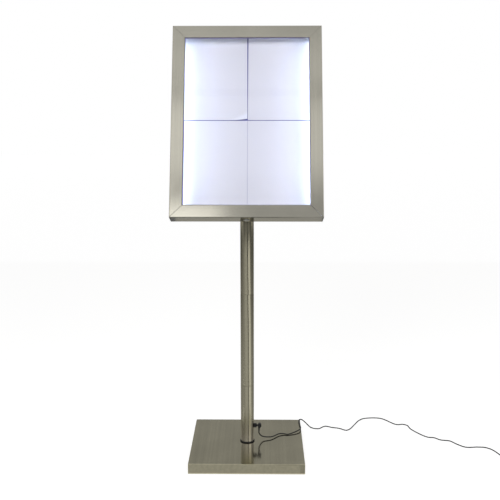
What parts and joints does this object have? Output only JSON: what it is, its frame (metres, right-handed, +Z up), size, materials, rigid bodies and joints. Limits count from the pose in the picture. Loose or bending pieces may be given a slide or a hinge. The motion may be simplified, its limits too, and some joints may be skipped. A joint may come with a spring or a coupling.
{
  "type": "led information stand",
  "caption": "Lit lockable glazed case for A4 sheets that leans back on a round pole with a square weighted foot, with a hinged door, cam lock, clamped tilt joint and a plug-in low-voltage lead.",
  "frame": {"origin": "middle of the square foot's underside, on the floor", "axes": "+Z up, -Y towards the reader in front, +X to the reader's right, where the feed socket is"},
  "size_m": [1.286, 0.4979, 1.4677],
  "materials": {
    "satin_steel": "warm grey metal with a fine satin grain",
    "foot_steel": "the same metal, darker and almost polished",
    "dark_steel": "plain dark steel",
    "zinc_steel": "zinc plated",
    "chrome_lock": "polished",
    "bar_aluminium": "plain extruded",
    "black_plastic": "moulded, slightly rough",
    "black_cord": "smooth flexible sheath",
    "black_rubber": "matt rubber",
    "board_paint": "matt dark grey paint",
    "white_plastic": "moulded white",
    "paper": "plain white paper in cool light",
    "opal_plastic": "milky, lets light through",
    "clear_pane": "clear and smooth"
  },
  "bodies": {
    "stand": {"base_cover": "foot_steel", "base_weight": "dark_steel", "base_bottom_plate": "dark_steel", "base_pad_front_left": "black_rubber", "base_pad_front_right": "black_rubber", "base_pad_rear_left": "black_rubber", "base_pad_rear_right": "black_rubber", "foot_spigot": "dark_steel", "foot_bolt": "zinc_steel", "foot_ring": "black_rubber", "pole_lower_tube": "satin_steel", "pole_middle_tube": "satin_steel", "pole_upper_tube": "satin_steel", "pole_lower_coupler": "dark_steel", "pole_upper_coupler": "dark_steel", "pole_tongue": "dark_steel", "feed_socket": "black_plastic", "feed_socket_nut": "black_plastic", "feed_plug": "black_plastic", "pole_lead": "black_cord", "link_lead": "black_cord", "power_cord": "black_cord", "cord_coil": "black_cord", "coil_tie": "black_rubber", "power_supply": "black_plastic"},
    "case": {"tilt_bracket": "dark_steel", "pivot_bolt": "zinc_steel", "pivot_nut": "zinc_steel", "back_box": "satin_steel", "back_board": "board_paint", "sheet_bottom_left": "paper", "sheet_bottom_right": "paper", "sheet_top_left": "paper", "sheet_top_right": "paper", "led_channel_left": "bar_aluminium", "led_channel_right": "bar_aluminium", "led_strip_left": "white_plastic", "led_strip_right": "white_plastic", "led_cover_left": "opal_plastic", "led_cover_right": "opal_plastic", "terminal_block": "white_plastic", "cable_gland": "black_plastic", "case_lead": "black_cord", "strip_lead_left": "black_cord", "strip_lead_right": "black_cord", "hinge_leaf_case": "zinc_steel", "hinge_pin": "zinc_steel", "lock_body": "chrome_lock", "lock_nut": "zinc_steel"},
    "lock": {"lock_core": "chrome_lock", "lock_cam": "zinc_steel"},
    "door": {"door_frame_top": "satin_steel", "door_frame_bottom": "satin_steel", "door_frame_left": "satin_steel", "door_frame_right": "satin_steel", "window_pane": "clear_pane", "door_inner_frame": "zinc_steel", "pane_retainer": "zinc_steel", "hinge_leaf_door": "zinc_steel", "lock_strike": "zinc_steel"}
  },
  "joints": [
    {"name": "case_tilt", "type": "hinge", "parent": "stand", "child": "case", "pos_m": [0, 0, 0.9241], "axis": [-1, 0, 0], "range_deg": [-20, 25], "deforming": ["link_lead"]},
    {"name": "door_swing", "type": "hinge", "parent": "case", "child": "door", "pos_m": [-0.2465, -0.00512, 1.15555], "axis": [0, -0.3502, -0.9367], "range_deg": [0, 100]},
    {"name": "lock_turn", "type": "hinge", "parent": "case", "child": "lock", "pos_m": [0, -0.09227, 0.84864], "axis": [0, 0.3502, 0.9367], "range_deg": [0, 90]}
  ]
}
